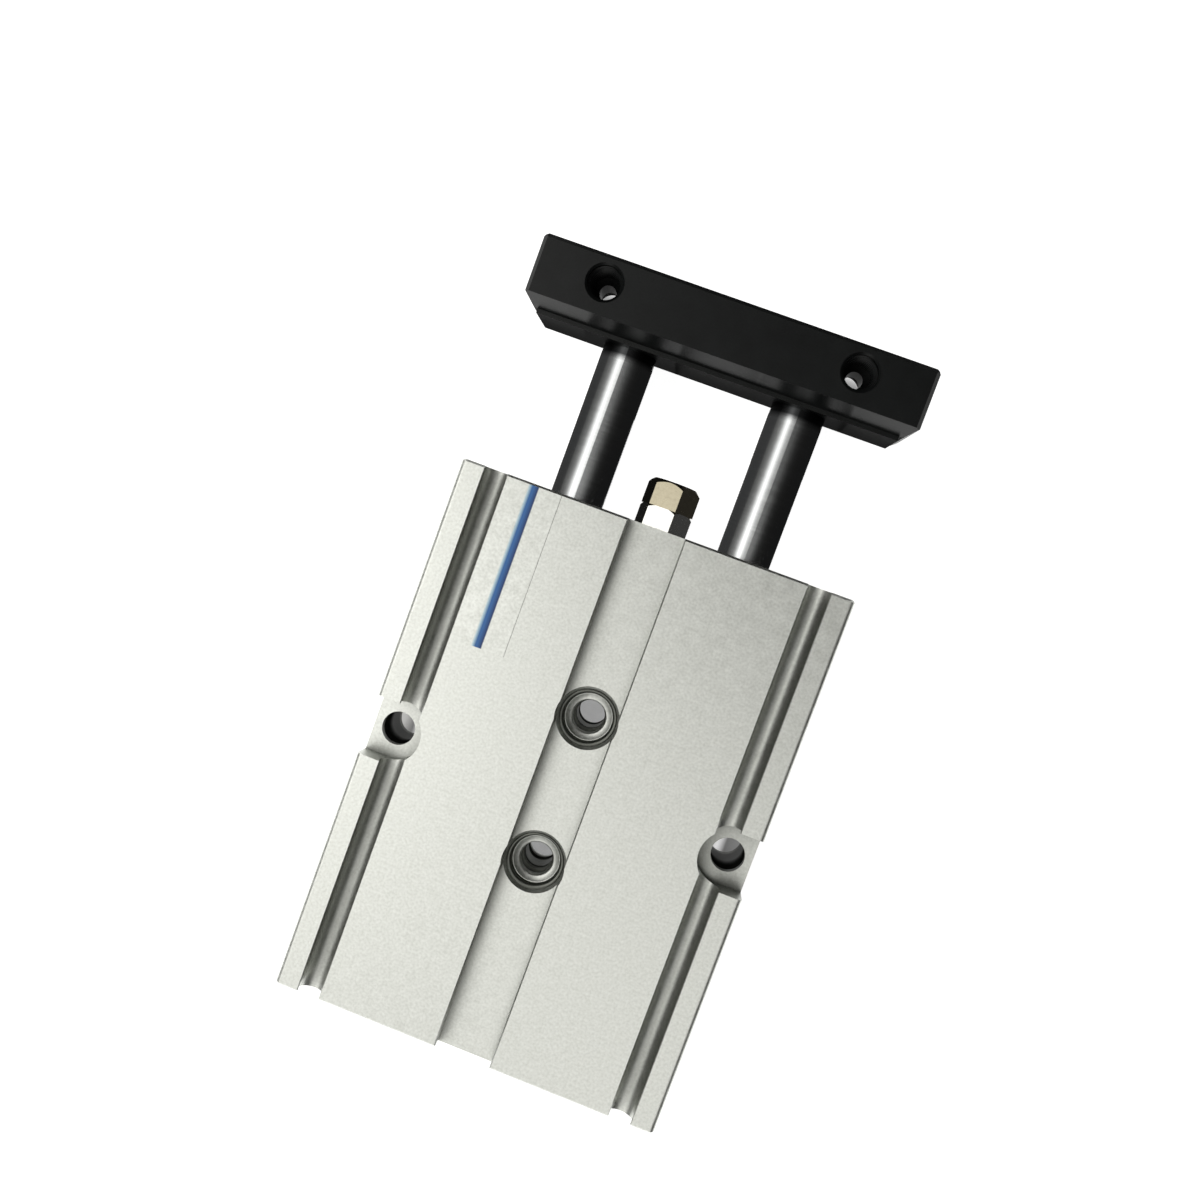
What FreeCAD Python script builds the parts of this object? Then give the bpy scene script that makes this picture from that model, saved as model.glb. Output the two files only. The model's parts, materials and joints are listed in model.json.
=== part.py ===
import FreeCAD, Part
import math
import os

# Twin-rod guided pneumatic cylinder, 16 mm bores, 30 mm stroke.
# One extruded body holds two bores side by side. Two pistons drive two rods, and one end plate
# joins the rods, so neither rod can turn. A stop bolt between the rods limits the return.
#
# Frame: X across the rods, +Y the way the rods extend, +Z up.
# The origin is the middle of the body's rear end face, so the rod axes lie in the plane Z = 0.

# ---- travel -----------------------------------------------------------------
STROKE = 30.0
REST_EXTENSION = 15.8            # how far the plate stands out of its fully returned place
STOP_PLAY = 0.1                  # left between plate and stop bolt at the return limit
FRONT_PLAY = 0.1                 # left between piston and front bumper at full extension
REAR_PLAY = 0.5                  # left between piston and rear bumper at the return limit

# ---- extruded body ----------------------------------------------------------
BODY_WIDTH = 58.0
BODY_HEIGHT = 20.0
BODY_CORNER_R = 0.7
EDGE_BREAK = 0.3                 # small chamfer on the sawn ends
BORE_PITCH = 26.0                # between the two bore axes
BORE_D = 16.0
SEAT_D = 17.0                    # wider seat for gland and rear cover at each end of a bore
CLIP_GROOVE_D = 17.9
CLIP_INSET = 1.2                 # body end to retaining clip
CLIP_THICKNESS = 1.0
CLIP_PLAY = 0.05
MOUTH_CHAMFER = 0.4

# ---- long grooves of the profile --------------------------------------------
GROOVE_EDGE_BREAK = 0.2          # chamfer along the mouth of every groove
EDGE_BAR = 3.6                   # strip outside each sensor slot
SLOT_OPENING = 3.1
SLOT_ROUND_D = 4.0               # round bottom, a little wider than the opening
SLOT_DEPTH = 3.3
CENTRE_GROOVE_WIDTH = 8.3
CENTRE_GROOVE_DEPTH = 2.4

# ---- M5 threads -------------------------------------------------------------
M5_D = 5.0                       # tapped holes and plugs are as wide as the thread outside
M5_MOUTH_D = 5.6

# ---- mounting holes through the body ----------------------------------------
SIDE_HOLE_SPACING = 50.8
SIDE_HOLE_D = 4.9
NOTCH_WIDTH = 8.8                # screw-head notch round each side hole, open to the side
SCREW_SEAT_DEPTH = 4.4           # depth of notches and counterbores below the broad faces
CENTRE_HOLE_SPACING = 22.0
CENTRE_HOLE_SHIFT = 0.5          # the pair sits this far ahead of mid-length
COUNTERBORE_D = 8.0
COUNTERBORE_RIM_D = 9.1
COUNTERBORE_BEVEL = 0.55
SCREW_CONE_D = 7.4               # wide end of the cone that leads into the thread
TAPPED_DEPTH = 4.0
PASSAGE_D = 4.3                  # between the two tapped ends

# ---- air ports --------------------------------------------------------------
PORT_DEPTH = 5.5
AIRWAY_D = 2.5                   # cross drilling that feeds both bores
AIRWAY_INSET = 2.3               # from gland or rear cover to the airway's axis
PLUG_LENGTH = 4.5
PLUG_INSET = 0.5
PLUG_SOCKET_AF = 2.5
PLUG_SOCKET_DEPTH = 2.0

# ---- rods and pistons -------------------------------------------------------
ROD_D = 8.0
ROD_END_CHAMFER = 0.4
SPIGOT_D = 6.0                   # thinner rod end that carries the piston
SPIGOT_SETBACK = 0.5
PISTON_LAND = 1.5
PISTON_RADIAL_GAP = 0.1
WEAR_RING_WIDTH = 4.0
WEAR_RING_WALL = 1.0
PISTON_SEAL_WIDTH = 4.0
PISTON_SEAL_WALL = 2.3
MAGNET_LENGTH = 5.0
MAGNET_D = 15.2
MAGNET_SEAT_D = 9.0
RETAINER_LENGTH = 4.5
RETAINER_FLOOR = 1.3
PISTON_NUT_AF = 10.0
PISTON_NUT_HEIGHT = 3.0

# ---- gland, covers, bumpers and seals ---------------------------------------
WIPER_WIDTH = 2.8
WIPER_D = 12.4
WIPER_LIP = 0.4                  # how far the lip stands out of the gland
GLAND_WEB = 1.0
GLAND_WEB_D = 8.8
BUSHING_LENGTH = 7.0
BUSHING_D = 10.0
ROD_SEAL_WIDTH = 3.2
ROD_SEAL_D = 13.0
COVER_LENGTH = 5.0
COVER_DISH_D = 9.0
COVER_DISH_DEPTH = 0.8
O_RING_SECTION = 1.25
O_RING_GROOVE_WIDTH = 1.7
O_RING_SQUEEZE_GAP = 0.025
BUMPER_THICKNESS = 2.0
BUMPER_D = 15.4
FRONT_BUMPER_HOLE_D = 9.2

# ---- retaining clips --------------------------------------------------------
CLIP_WALL = 1.3
CLIP_LUG_R = 1.5
CLIP_EYE_D = 1.2
CLIP_LUG_ANGLE = 14.0            # from the clip's lowest point to each lug
CLIP_OPENING_ANGLE = 8.0         # from the lowest point to each end of the ring

# ---- end plate --------------------------------------------------------------
PLATE_WIDTH = 58.0
PLATE_THICKNESS = 10.4
PLATE_HEIGHT = 18.0
PLATE_EDGE_BEVEL = 0.6
PLATE_LAND_RISE = 0.65           # raised land on the back that takes the rods and the stop bolt
PLATE_LAND_MARGIN = 0.55         # shoulder left beside each end of the land
PLATE_SLOPE_DEPTH = 1.25         # slopes that lead from the plate's sides to its back
PLATE_SLOPE_REACH = 3.9          # on the upper and lower edges
PLATE_END_REACH = 1.3            # on the two ends
PLATE_TAP_DEPTH = 6.0
PLATE_PILOT_D = 2.5              # drilling that joins each upper hole to the lower one
BROAD_TAP_SPACING = 37.4         # holes in the plate's upper and lower faces
BROAD_TAP_INSET = 4.0            # from the plate's front face
FRONT_TAP_SPACING = 47.0         # holes in its front face
ROD_RECESS_DEPTH = 2.5

# ---- rod screws, M4 socket head ---------------------------------------------
ROD_SCREW_D = 4.0
ROD_SCREW_LENGTH = 12.0
ROD_SCREW_HEAD_D = 7.0
ROD_SCREW_HEAD_HEIGHT = 4.0
ROD_SCREW_SOCKET_AF = 3.0
ROD_SCREW_SOCKET_DEPTH = 2.0
HEAD_SUNK = 0.4                  # screw head below the plate's face
HEAD_CLEARANCE = 0.3
SHANK_CLEARANCE = 0.2

# ---- stop bolt and lock nut, M4 ---------------------------------------------
STOP_BOLT_D = 4.0
STOP_BOLT_GRIP = 12.0            # thread length inside the body
STOP_BOLT_AF = 7.0
STOP_HEAD_HEIGHT = 4.0
STOP_HEAD_CHAMFER = 0.8
LOCK_NUT_HEIGHT = 3.2
LOCK_NUT_CHAMFER = 0.4
HEX_TURN = 10.0                  # flats lean this far from level

# ---- label ------------------------------------------------------------------
LABEL_WIDTH = 8.0
LABEL_LENGTH = 24.0
LABEL_THICKNESS = 0.1
LABEL_SIDE_MARGIN = 0.1
LABEL_FRONT_MARGIN = 0.3

# ---- fits -------------------------------------------------------------------
SEAT_FIT = 0.03                  # radial, pieces seated in a bore
THREAD_FIT = 0.02                # radial, screw in its tapped hole
RUNNING_FIT = 0.03               # radial, rod in bushing and wear ring in bore
SEAL_FIT = 0.04                  # radial, seal lips against rod and bore
OVERRUN = 1.0                    # how far a cutting tool runs past a face
TOUCH = 1e-6                     # two places nearer than this are the same
DRILL_POINT = 0.3                # height of a drill's point over its diameter

# ---- planes along the travel, from the front of the body to its rear ---------
GLAND_LENGTH = WIPER_WIDTH + GLAND_WEB + BUSHING_LENGTH + ROD_SEAL_WIDTH
PISTON_LENGTH = 3 * PISTON_LAND + WEAR_RING_WIDTH + PISTON_SEAL_WIDTH
PISTON_STACK = PISTON_LENGTH + MAGNET_LENGTH + RETAINER_LENGTH
CLIP_ZONE = CLIP_INSET + CLIP_THICKNESS
BODY_LENGTH = (2 * CLIP_ZONE + GLAND_LENGTH + COVER_LENGTH + 2 * BUMPER_THICKNESS
               + FRONT_PLAY + STROKE + PISTON_STACK + REAR_PLAY)
FRONT_Y = BODY_LENGTH
REAR_Y = 0.0
MIDDLE_Y = (FRONT_Y + REAR_Y) / 2
GLAND_FRONT_Y = FRONT_Y - CLIP_ZONE
GLAND_REAR_Y = GLAND_FRONT_Y - GLAND_LENGTH
COVER_REAR_Y = REAR_Y + CLIP_ZONE
COVER_FRONT_Y = COVER_REAR_Y + COVER_LENGTH
PISTON_FRONT_Y = GLAND_REAR_Y - BUMPER_THICKNESS - FRONT_PLAY - (STROKE - REST_EXTENSION)
PISTON_REAR_Y = PISTON_FRONT_Y - PISTON_LENGTH
RETAINER_FRONT_Y = PISTON_REAR_Y - MAGNET_LENGTH
RETAINER_REAR_Y = RETAINER_FRONT_Y - RETAINER_LENGTH
STOP_HEAD_Y = FRONT_Y + LOCK_NUT_HEIGHT
STOP_TIP_Y = STOP_HEAD_Y + STOP_HEAD_HEIGHT
PLATE_BACK_Y = STOP_TIP_Y + STOP_PLAY + REST_EXTENSION
PLATE_FRONT_Y = PLATE_BACK_Y + PLATE_THICKNESS
ROD_FRONT_Y = PLATE_BACK_Y + ROD_RECESS_DEPTH

SIDES = {"left": -1, "right": 1}
BROAD_FACES = ((BODY_HEIGHT / 2, -1), (-BODY_HEIGHT / 2, 1))     # height, and the way into the body
ALONG = FreeCAD.Vector(0, 1, 0)
ACROSS = FreeCAD.Vector(1, 0, 0)
UP = FreeCAD.Vector(0, 0, 1)


def at(x, y, z=0.0):
    return FreeCAD.Vector(x, y, z)


def bore_x(side):
    return side * BORE_PITCH / 2


def round_bar(diameter, start, end):
    """Cylinder between two points."""
    along = end - start
    return Part.makeCylinder(diameter / 2, along.Length, start, along)


def taper(start_d, end_d, start, end):
    """Cone between two points."""
    along = end - start
    return Part.makeCone(start_d / 2, end_d / 2, along.Length, start, along)


def turned(x, outline):
    """Solid of revolution about a bore axis; outline is a closed list of (radius, y)."""
    points = [at(x + radius, y) for radius, y in outline]
    face = Part.Face(Part.makePolygon(points + points[:1]))
    return face.revolve(at(x, 0), ALONG, 360)


def ring(x, inner_d, outer_d, y_low, y_high):
    """Plain ring or sleeve round a bore axis."""
    inner, outer = inner_d / 2, outer_d / 2
    return turned(x, [(inner, y_low), (outer, y_low), (outer, y_high), (inner, y_high)])


def tapped_hole(mouth, inward, drill_d, mouth_d, depth):
    """Tool for a blind threaded hole: countersunk mouth, drilled wall and drill point."""
    bottom = mouth + inward * depth
    point = bottom + inward * (DRILL_POINT * drill_d)
    sink = (mouth_d - drill_d) / 2
    tool = round_bar(drill_d, mouth - inward * OVERRUN, bottom)
    tool = tool.fuse(taper(mouth_d, drill_d, mouth, mouth + inward * sink))
    tool = tool.fuse(round_bar(mouth_d, mouth - inward * OVERRUN, mouth))
    return tool.fuse(taper(drill_d, 0, bottom, point))


def hex_bar(across_flats, start, end, turn=0.0):
    """Hexagonal bar between two points; with no turn, two of its flats are level."""
    along = end - start
    sideways = along.cross(UP).normalize()
    corner = across_flats / math.sqrt(3)
    points = []
    for index in range(6):
        angle = math.radians(turn + 60 * index)
        points.append(start + sideways * (corner * math.cos(angle)) + UP * (corner * math.sin(angle)))
    return Part.Face(Part.makePolygon(points + points[:1])).extrude(along)


# ---- body -------------------------------------------------------------------
def extruded_block():
    """Outer bar of the profile, its long corners rounded and its sawn ends broken."""
    corner = at(-BODY_WIDTH / 2, REAR_Y, -BODY_HEIGHT / 2)
    block = Part.makeBox(BODY_WIDTH, BODY_LENGTH, BODY_HEIGHT, corner)
    long_edges = [edge for edge in block.Edges if abs(edge.tangentAt(0).y) > 0.5]
    block = block.makeFillet(BODY_CORNER_R, long_edges)
    end_faces = [face for face in block.Faces if abs(face.normalAt(0, 0).y) > 0.9]
    return block.makeChamfer(EDGE_BREAK, [edge for face in end_faces for edge in face.Edges])


def groove_tool(centre_x, face_z, inward, width, depth):
    """Straight groove along the whole body, with chamfered edges at its mouth."""
    half = width / 2
    flare = half + GROOVE_EDGE_BREAK + OVERRUN
    section = [(-flare, -OVERRUN), (-half, GROOVE_EDGE_BREAK), (-half, depth),
               (half, depth), (half, GROOVE_EDGE_BREAK), (flare, -OVERRUN)]
    points = [at(centre_x + sideways, REAR_Y - OVERRUN, face_z + inward * down) for sideways, down in section]
    return Part.Face(Part.makePolygon(points + points[:1])).extrude(ALONG * (BODY_LENGTH + 2 * OVERRUN))


def groove_tools():
    """Centre groove and round-bottomed sensor slots, the same on both broad faces."""
    slot_x = BODY_WIDTH / 2 - EDGE_BAR - SLOT_OPENING / 2
    round_depth = SLOT_DEPTH - SLOT_ROUND_D / 2
    tools = []
    for face_z, inward in BROAD_FACES:
        tools.append(groove_tool(0, face_z, inward, CENTRE_GROOVE_WIDTH, CENTRE_GROOVE_DEPTH))
        round_z = face_z + inward * round_depth
        for side in SIDES.values():
            x = side * slot_x
            tools.append(groove_tool(x, face_z, inward, SLOT_OPENING, round_depth))
            tools.append(round_bar(SLOT_ROUND_D, at(x, REAR_Y - OVERRUN, round_z),
                                   at(x, FRONT_Y + OVERRUN, round_z)))
    return tools


def bore_tools():
    """Two through bores, each with a wider seat, clip groove and chamfered mouth at both ends."""
    ends = ((FRONT_Y, -1, FRONT_Y - GLAND_REAR_Y), (REAR_Y, 1, COVER_FRONT_Y - REAR_Y))
    groove_width = CLIP_THICKNESS + CLIP_PLAY
    mouth_d = SEAT_D + 2 * MOUTH_CHAMFER
    tools = []
    for side in SIDES.values():
        x = bore_x(side)
        tools.append(round_bar(BORE_D, at(x, REAR_Y - OVERRUN), at(x, FRONT_Y + OVERRUN)))
        for end_y, inward, seat_depth in ends:
            groove_y = end_y + inward * (CLIP_ZONE - groove_width)
            seat_end = at(x, end_y + inward * seat_depth)
            tools.append(round_bar(SEAT_D, at(x, end_y - inward * OVERRUN), seat_end))
            tools.append(round_bar(CLIP_GROOVE_D, at(x, groove_y), at(x, groove_y + inward * groove_width)))
            tools.append(taper(mouth_d, SEAT_D, at(x, end_y), at(x, end_y + inward * MOUTH_CHAMFER)))
    return tools


def centre_hole_tools():
    """Through holes in the centre groove: counterbored and tapped from both broad faces."""
    tools = []
    for end in (-1, 1):
        y = MIDDLE_Y + CENTRE_HOLE_SHIFT + end * CENTRE_HOLE_SPACING / 2
        lower = at(0, y, -BODY_HEIGHT / 2)
        tools.append(round_bar(PASSAGE_D, lower, lower + UP * BODY_HEIGHT))
        for face_z, inward in BROAD_FACES:
            rim_z = face_z + inward * CENTRE_GROOVE_DEPTH
            seat_z = face_z + inward * SCREW_SEAT_DEPTH
            cone_end_z = seat_z + inward * (SCREW_CONE_D - M5_D) / 2
            tools.append(round_bar(COUNTERBORE_RIM_D, at(0, y, face_z - inward * OVERRUN), at(0, y, rim_z)))
            tools.append(taper(COUNTERBORE_RIM_D, COUNTERBORE_D, at(0, y, rim_z),
                               at(0, y, rim_z + inward * COUNTERBORE_BEVEL)))
            tools.append(round_bar(COUNTERBORE_D, at(0, y, rim_z), at(0, y, seat_z)))
            tools.append(taper(SCREW_CONE_D, M5_D, at(0, y, seat_z), at(0, y, cone_end_z)))
            tools.append(round_bar(M5_D, at(0, y, seat_z), at(0, y, seat_z + inward * TAPPED_DEPTH)))
    return tools


def side_hole_tools():
    """Through holes in the edge bars, each in a round-ended notch that opens to the side."""
    tools = []
    for side in SIDES.values():
        x = side * SIDE_HOLE_SPACING / 2
        reach = (BODY_WIDTH - SIDE_HOLE_SPACING) / 2 + OVERRUN
        low_x = min(x, x + side * reach)
        lower = at(x, MIDDLE_Y, -BODY_HEIGHT / 2)
        tools.append(round_bar(SIDE_HOLE_D, lower, lower + UP * BODY_HEIGHT))
        for face_z, inward in BROAD_FACES:
            outer_z = face_z - inward * OVERRUN
            seat_z = face_z + inward * SCREW_SEAT_DEPTH
            corner = at(low_x, MIDDLE_Y - NOTCH_WIDTH / 2, min(outer_z, seat_z))
            tools.append(round_bar(NOTCH_WIDTH, at(x, MIDDLE_Y, outer_z), at(x, MIDDLE_Y, seat_z)))
            tools.append(Part.makeBox(reach, NOTCH_WIDTH, SCREW_SEAT_DEPTH + OVERRUN, corner))
    return tools


def port_tools():
    """Threaded ports on both side faces, joined in pairs by an airway through both bores."""
    tools = []
    port_x = BODY_WIDTH / 2
    for y in port_places():
        tools.append(round_bar(AIRWAY_D, at(-port_x + PORT_DEPTH, y), at(port_x - PORT_DEPTH, y)))
        for side in SIDES.values():
            tools.append(tapped_hole(at(side * port_x, y), ACROSS * -side, M5_D, M5_MOUTH_D, PORT_DEPTH))
    return tools


def port_places():
    return (GLAND_REAR_Y - AIRWAY_INSET, COVER_FRONT_Y + AIRWAY_INSET)


def body():
    stop_hole_d = STOP_BOLT_D + 2 * THREAD_FIT
    stop_hole = tapped_hole(at(0, FRONT_Y), -ALONG, stop_hole_d, stop_hole_d + EDGE_BREAK,
                            STOP_BOLT_GRIP + EDGE_BREAK)
    tools = groove_tools() + bore_tools() + centre_hole_tools() + side_hole_tools() + port_tools()
    return extruded_block().cut(tools + [stop_hole])


def label():
    low_x = -BODY_WIDTH / 2 + EDGE_BAR + SLOT_OPENING + GROOVE_EDGE_BREAK + LABEL_SIDE_MARGIN
    low_y = FRONT_Y - LABEL_FRONT_MARGIN - LABEL_LENGTH
    return Part.makeBox(LABEL_WIDTH, LABEL_LENGTH, LABEL_THICKNESS, at(low_x, low_y, BODY_HEIGHT / 2))


def port_plugs():
    """Socket set screws that close the two ports on the left side."""
    outer_x = -BODY_WIDTH / 2 + PLUG_INSET
    plugs = []
    for y in port_places():
        plug = round_bar(M5_D - 2 * THREAD_FIT, at(outer_x, y), at(outer_x + PLUG_LENGTH, y))
        plugs.append(plug.cut(hex_bar(PLUG_SOCKET_AF, at(outer_x, y), at(outer_x + PLUG_SOCKET_DEPTH, y))))
    return Part.makeCompound(plugs)


# ---- what each bore holds at its ends ---------------------------------------
def seated_profile(length, inner_outline, low_y):
    """Outline of a turned piece in a bore seat, with an O-ring groove round its middle."""
    outer = SEAT_D / 2 - SEAT_FIT
    bottom = SEAT_D / 2 - O_RING_SECTION - 2 * O_RING_SQUEEZE_GAP
    groove_low = low_y + (length - O_RING_GROOVE_WIDTH) / 2
    groove_high = groove_low + O_RING_GROOVE_WIDTH
    return inner_outline + [(outer, low_y + length), (outer, groove_high), (bottom, groove_high),
                            (bottom, groove_low), (outer, groove_low), (outer, low_y)]


def gland(side):
    """Guide for the rod: pockets for wiper and rod seal, with the bushing's bore between them."""
    web_y = GLAND_FRONT_Y - WIPER_WIDTH
    bushing_y = web_y - GLAND_WEB
    seal_y = bushing_y - BUSHING_LENGTH
    inner = [(ROD_SEAL_D / 2, GLAND_REAR_Y), (ROD_SEAL_D / 2, seal_y), (BUSHING_D / 2, seal_y),
             (BUSHING_D / 2, bushing_y), (GLAND_WEB_D / 2, bushing_y), (GLAND_WEB_D / 2, web_y),
             (WIPER_D / 2, web_y), (WIPER_D / 2, GLAND_FRONT_Y)]
    return turned(bore_x(side), seated_profile(GLAND_LENGTH, inner, GLAND_REAR_Y))


def rear_cover(side):
    """Closed disc with a shallow dish on its outer face."""
    floor_y = COVER_REAR_Y + COVER_DISH_DEPTH
    inner = [(COVER_DISH_D / 2, COVER_REAR_Y), (COVER_DISH_D / 2, floor_y), (0, floor_y), (0, COVER_FRONT_Y)]
    return turned(bore_x(side), seated_profile(COVER_LENGTH, inner, COVER_REAR_Y))


def o_ring(side, middle_y):
    """O-ring squeezed flat between groove and seat, its sides still bulging."""
    outer = SEAT_D / 2 - O_RING_SQUEEZE_GAP
    inner = outer - O_RING_SECTION
    bulge, flat = O_RING_SECTION / 2, O_RING_SECTION / 4
    outline = [(outer, middle_y - flat), (outer, middle_y + flat), (outer - bulge, middle_y + bulge),
               (inner, middle_y + flat), (inner, middle_y - flat), (outer - bulge, middle_y - bulge)]
    return turned(bore_x(side), outline)


def rod_bushing(side):
    high_y = GLAND_FRONT_Y - WIPER_WIDTH - GLAND_WEB
    inner_d, outer_d = ROD_D + 2 * RUNNING_FIT, BUSHING_D - 2 * THREAD_FIT
    return ring(bore_x(side), inner_d, outer_d, high_y - BUSHING_LENGTH, high_y)


def rod_wiper(side):
    """Scraper whose lip closes on the rod just outside the gland."""
    back = GLAND_FRONT_Y - WIPER_WIDTH
    lip = ROD_D / 2 + SEAL_FIT
    outer = WIPER_D / 2 - THREAD_FIT
    heel = lip + (outer - lip) / 3
    outline = [(lip, GLAND_FRONT_Y + WIPER_LIP), (heel, GLAND_FRONT_Y), (outer, GLAND_FRONT_Y),
               (outer, back), (heel, back), (heel, GLAND_FRONT_Y - WIPER_WIDTH / 2)]
    return turned(bore_x(side), outline)


def rod_seal(side):
    """U-cup with its mouth towards the pressure."""
    lip = ROD_D / 2 + SEAL_FIT
    outer = ROD_SEAL_D / 2 - THREAD_FIT
    wall = (outer - lip) / 4
    front = GLAND_REAR_Y + ROD_SEAL_WIDTH
    root = GLAND_REAR_Y + ROD_SEAL_WIDTH / 2
    outline = [(lip, GLAND_REAR_Y), (lip + wall, GLAND_REAR_Y), ((lip + outer) / 2, root),
               (outer - wall, GLAND_REAR_Y), (outer, GLAND_REAR_Y), (outer, front), (lip, front)]
    return turned(bore_x(side), outline)


def front_bumper(side):
    return ring(bore_x(side), FRONT_BUMPER_HOLE_D, BUMPER_D, GLAND_REAR_Y - BUMPER_THICKNESS, GLAND_REAR_Y)


def rear_bumper(side):
    x = bore_x(side)
    return round_bar(BUMPER_D, at(x, COVER_FRONT_Y), at(x, COVER_FRONT_Y + BUMPER_THICKNESS))


def retaining_clip(side, low_y):
    """Inside circlip: an open ring with two eyed lugs at its lowest point."""
    x = bore_x(side)
    outer_d = CLIP_GROOVE_D - 2 * SEAT_FIT
    centre = at(x, low_y)
    clip = ring(x, outer_d - 2 * CLIP_WALL, outer_d, low_y, low_y + CLIP_THICKNESS)
    lug_reach = outer_d / 2 - CLIP_WALL - CLIP_LUG_R / 2
    eyes = []
    for turn in (-1, 1):
        angle = math.radians(turn * CLIP_LUG_ANGLE)
        spot = centre + FreeCAD.Vector(math.sin(angle), 0, -math.cos(angle)) * lug_reach
        clip = clip.fuse(round_bar(2 * CLIP_LUG_R, spot, spot + ALONG * CLIP_THICKNESS))
        eyes.append(round_bar(CLIP_EYE_D, spot - ALONG * OVERRUN, spot + ALONG * (CLIP_THICKNESS + OVERRUN)))
    edge = outer_d * math.tan(math.radians(CLIP_OPENING_ANGLE))
    opening = Part.makePolygon([centre, at(x - edge, low_y, -outer_d), at(x + edge, low_y, -outer_d), centre])
    return clip.cut(eyes + [Part.Face(opening).extrude(ALONG * CLIP_THICKNESS)])


# ---- moving pieces ----------------------------------------------------------
def piston_rod(side):
    """Hard-chromed rod: tapped front end in the plate, thinner threaded rear end in the piston."""
    x = bore_x(side)
    rod = round_bar(ROD_D, at(x, PISTON_FRONT_Y), at(x, ROD_FRONT_Y - ROD_END_CHAMFER))
    rod = rod.fuse(taper(ROD_D, ROD_D - 2 * ROD_END_CHAMFER, at(x, ROD_FRONT_Y - ROD_END_CHAMFER),
                         at(x, ROD_FRONT_Y)))
    rod = rod.fuse(round_bar(SPIGOT_D, at(x, RETAINER_REAR_Y + SPIGOT_SETBACK), at(x, PISTON_FRONT_Y)))
    thread_d = ROD_SCREW_D + 2 * THREAD_FIT
    return rod.cut(tapped_hole(at(x, ROD_FRONT_Y), -ALONG, thread_d, thread_d + EDGE_BREAK, ROD_SCREW_LENGTH))


def piston(side):
    """Wear ring groove in front, seal groove behind it, and a spigot that centres the magnet."""
    outer = BORE_D / 2 - PISTON_RADIAL_GAP
    hole = SPIGOT_D / 2 + THREAD_FIT
    wear_bottom = BORE_D / 2 - RUNNING_FIT - WEAR_RING_WALL
    seal_bottom = BORE_D / 2 - SEAL_FIT - PISTON_SEAL_WALL
    spigot = MAGNET_SEAT_D / 2
    wear_front = PISTON_FRONT_Y - PISTON_LAND
    wear_rear = wear_front - WEAR_RING_WIDTH
    seal_front = wear_rear - PISTON_LAND
    seal_rear = seal_front - PISTON_SEAL_WIDTH
    outline = [(hole, PISTON_FRONT_Y), (outer, PISTON_FRONT_Y),
               (outer, wear_front), (wear_bottom, wear_front), (wear_bottom, wear_rear), (outer, wear_rear),
               (outer, seal_front), (seal_bottom, seal_front), (seal_bottom, seal_rear), (outer, seal_rear),
               (outer, PISTON_REAR_Y), (spigot, PISTON_REAR_Y), (spigot, RETAINER_FRONT_Y),
               (hole, RETAINER_FRONT_Y)]
    return turned(bore_x(side), outline)


def wear_ring(side):
    outer_d = BORE_D - 2 * RUNNING_FIT
    high_y = PISTON_FRONT_Y - PISTON_LAND
    return ring(bore_x(side), outer_d - 2 * WEAR_RING_WALL, outer_d, high_y - WEAR_RING_WIDTH, high_y)


def piston_seal(side):
    """Double-acting seal: a lip at each end and a hollow between them."""
    outer = BORE_D / 2 - SEAL_FIT
    inner = outer - PISTON_SEAL_WALL
    high_y = PISTON_FRONT_Y - 2 * PISTON_LAND - WEAR_RING_WIDTH
    low_y = high_y - PISTON_SEAL_WIDTH
    lip = PISTON_SEAL_WIDTH / 5
    waist = outer - PISTON_SEAL_WALL / 3
    outline = [(inner, low_y), (outer, low_y), (outer, low_y + lip), (waist, (low_y + high_y) / 2),
               (outer, high_y - lip), (outer, high_y), (inner, high_y)]
    return turned(bore_x(side), outline)


def magnet(side):
    return ring(bore_x(side), MAGNET_SEAT_D, MAGNET_D, RETAINER_FRONT_Y, PISTON_REAR_Y)


def magnet_retainer(side):
    """Cup washer behind the magnet; the piston nut sits in its recess."""
    outer = BORE_D / 2 - PISTON_RADIAL_GAP
    hole = SPIGOT_D / 2 + THREAD_FIT
    recess = PISTON_NUT_AF / math.sqrt(3) + SHANK_CLEARANCE
    floor_y = RETAINER_FRONT_Y - RETAINER_FLOOR
    outline = [(hole, RETAINER_FRONT_Y), (outer, RETAINER_FRONT_Y), (outer, RETAINER_REAR_Y),
               (recess, RETAINER_REAR_Y), (recess, floor_y), (hole, floor_y)]
    return turned(bore_x(side), outline)


def piston_nut(side):
    x = bore_x(side)
    high_y = RETAINER_FRONT_Y - RETAINER_FLOOR
    low_y = high_y - PISTON_NUT_HEIGHT
    hole = round_bar(SPIGOT_D + 2 * THREAD_FIT, at(x, low_y - OVERRUN), at(x, high_y + OVERRUN))
    return hex_bar(PISTON_NUT_AF, at(x, low_y), at(x, high_y)).cut(hole)


def cut_corner_outline(half_width, low, high, low_cut, high_cut):
    """Rectangle with its corners cut off, as a list of (sideways, up); the cuts are such pairs too."""
    right = [(half_width - low_cut[0], low), (half_width, low + low_cut[1]),
             (half_width, high - high_cut[1]), (half_width - high_cut[0], high)]
    return right + [(-sideways, up) for sideways, up in reversed(right)]


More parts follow.
